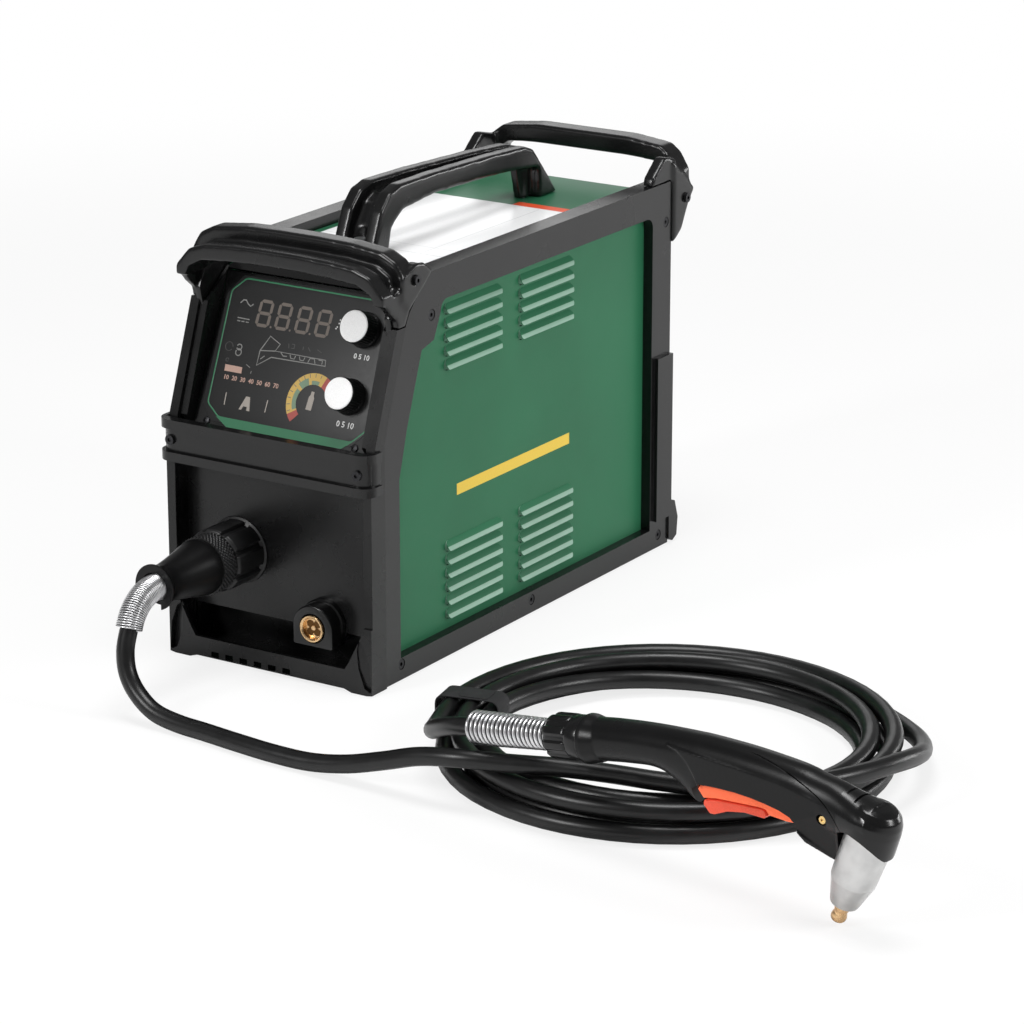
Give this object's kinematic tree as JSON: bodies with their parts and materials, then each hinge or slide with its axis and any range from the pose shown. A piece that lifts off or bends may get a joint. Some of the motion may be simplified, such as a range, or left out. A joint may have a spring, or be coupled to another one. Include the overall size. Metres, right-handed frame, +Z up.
{
  "type": "portable plasma cutter",
  "caption": "Portable inverter plasma cutter with sloped control panel, louvred sides, bumper frames, carrying handle, coiled lead and trigger torch.",
  "frame": {"origin": "on the floor under the middle of the case, at the underside of the centre foot", "axes": "+Z up, the control panel faces -Y, +X to the right seen from the front; the coil and torch lie on the +X side"},
  "size_m": [0.8477, 0.7839, 0.411],
  "materials": {
    "black_plastic": "fine moulded texture, semi-matt",
    "soft_black": "matt rubber",
    "lead_rubber": "semi-matt rubber jacket",
    "green_paint": "satin powder coat",
    "panel_film": "printed film, satin",
    "window": "dark tinted window",
    "board": "solder mask",
    "white_cap": "satin white disc",
    "steel": "zinc plated",
    "dark_steel": "black oxide",
    "spring_steel": "bright spring wire",
    "cup_metal": "bead blasted",
    "aluminium": "extruded",
    "brass": "machined",
    "copper": "copper colour, machined",
    "red_rocker": "glossy red",
    "orange_plastic": "satin orange",
    "release_plastic": "satin red-orange",
    "blue_line": "nylon line",
    "core": "wound cores",
    "pale_plastic": "plain"
  },
  "bodies": {
    "unit": {"base_tray": "steel", "rubber_feet": "soft_black", "side_panel_right": "green_paint", "side_panel_left": "green_paint", "top_cover": "green_paint", "side_frame_right": "black_plastic", "side_frame_left": "black_plastic", "case_screws": "dark_steel", "front_bezel": "black_plastic", "belt_bumper": "black_plastic", "front_bumper": "black_plastic", "rear_bumper": "black_plastic", "control_panel": "black_plastic", "panel_overlay": "panel_film", "display_window": "window", "display_board": "board", "current_encoder": "steel", "pressure_regulator": "aluminium", "carry_handle": "black_plastic", "handle_screws": "dark_steel", "rear_panel": "black_plastic", "fan_housing": "black_plastic", "fan_guard": "steel", "power_switch": "black_plastic", "mains_gland": "black_plastic", "air_inlet": "brass", "air_line": "blue_line", "divider_plate": "steel", "heat_sink": "aluminium", "power_board": "board", "transformer": "core", "torch_socket": "black_plastic", "connector_body": "soft_black", "connector_spring": "spring_steel", "work_socket": "black_plastic", "work_contact": "brass", "torch_lead": "lead_rubber", "lead_coil": "lead_rubber", "lead_tail": "lead_rubber", "coil_strap": "soft_black", "torch_spring": "spring_steel", "torch_collar": "black_plastic", "torch_handle": "black_plastic", "torch_screws": "brass", "torch_switch": "black_plastic", "torch_head": "black_plastic", "shield_cup": "cup_metal", "torch_tip": "copper"},
    "current_control": {"current_knob": "black_plastic", "current_knob_cap": "white_cap", "current_shaft": "steel"},
    "pressure_control": {"pressure_knob": "black_plastic", "pressure_knob_cap": "white_cap", "pressure_shaft": "steel"},
    "rocker": {"power_rocker": "red_rocker"},
    "fan": {"fan_rotor": "black_plastic"},
    "ring": {"lock_ring": "black_plastic"},
    "trigger_body": {"trigger": "orange_plastic"},
    "release": {"trigger_release": "release_plastic"},
    "plunger": {"switch_plunger": "pale_plastic"}
  },
  "joints": [
    {"name": "current_turn", "type": "hinge", "parent": "unit", "child": "current_control", "pos_m": [0.063, -0.19629, 0.30992], "axis": [0, 0.9135, -0.4067], "continuous": true},
    {"name": "pressure_turn", "type": "hinge", "parent": "unit", "child": "pressure_control", "pos_m": [0.063, -0.22049, 0.25557], "axis": [0, 0.9135, -0.4067], "range_deg": [-360, 360]},
    {"name": "rocker_tip", "type": "hinge", "parent": "unit", "child": "rocker", "pos_m": [0.062, 0.243, 0.23], "axis": [-1, 0, 0], "range_deg": [0, 16]},
    {"name": "fan_spin", "type": "hinge", "parent": "unit", "child": "fan", "pos_m": [-0.026, 0.224, 0.225], "axis": [0, 1, 0], "continuous": true},
    {"name": "ring_turn", "type": "hinge", "parent": "unit", "child": "ring", "pos_m": [-0.045, -0.289, 0.103], "axis": [0, 1, 0], "range_deg": [0, 90]},
    {"name": "trigger_squeeze", "type": "hinge", "parent": "unit", "child": "trigger_body", "pos_m": [0.64025, -0.46431, 0.078], "axis": [0.1513, 0.9885, 0], "range_deg": [0, 3.5], "stiffness_Nm_per_rad": 0.6, "springref_deg": -6.88},
    {"name": "release_slide", "type": "slide", "parent": "trigger_body", "child": "release", "axis": [-0.9874, 0.1511, -0.0471], "range_m": [0, 0.004], "stiffness_N_per_m": 150, "springref_m": -0.004},
    {"name": "plunger_slide", "type": "slide", "parent": "unit", "child": "plunger", "axis": [0, 0, 1], "range_m": [0, 0.0036]}
  ],
  "couplings": [
    {"joint": "plunger_slide", "follows": "trigger_squeeze", "m_per_rad": 0.056}
  ]
}
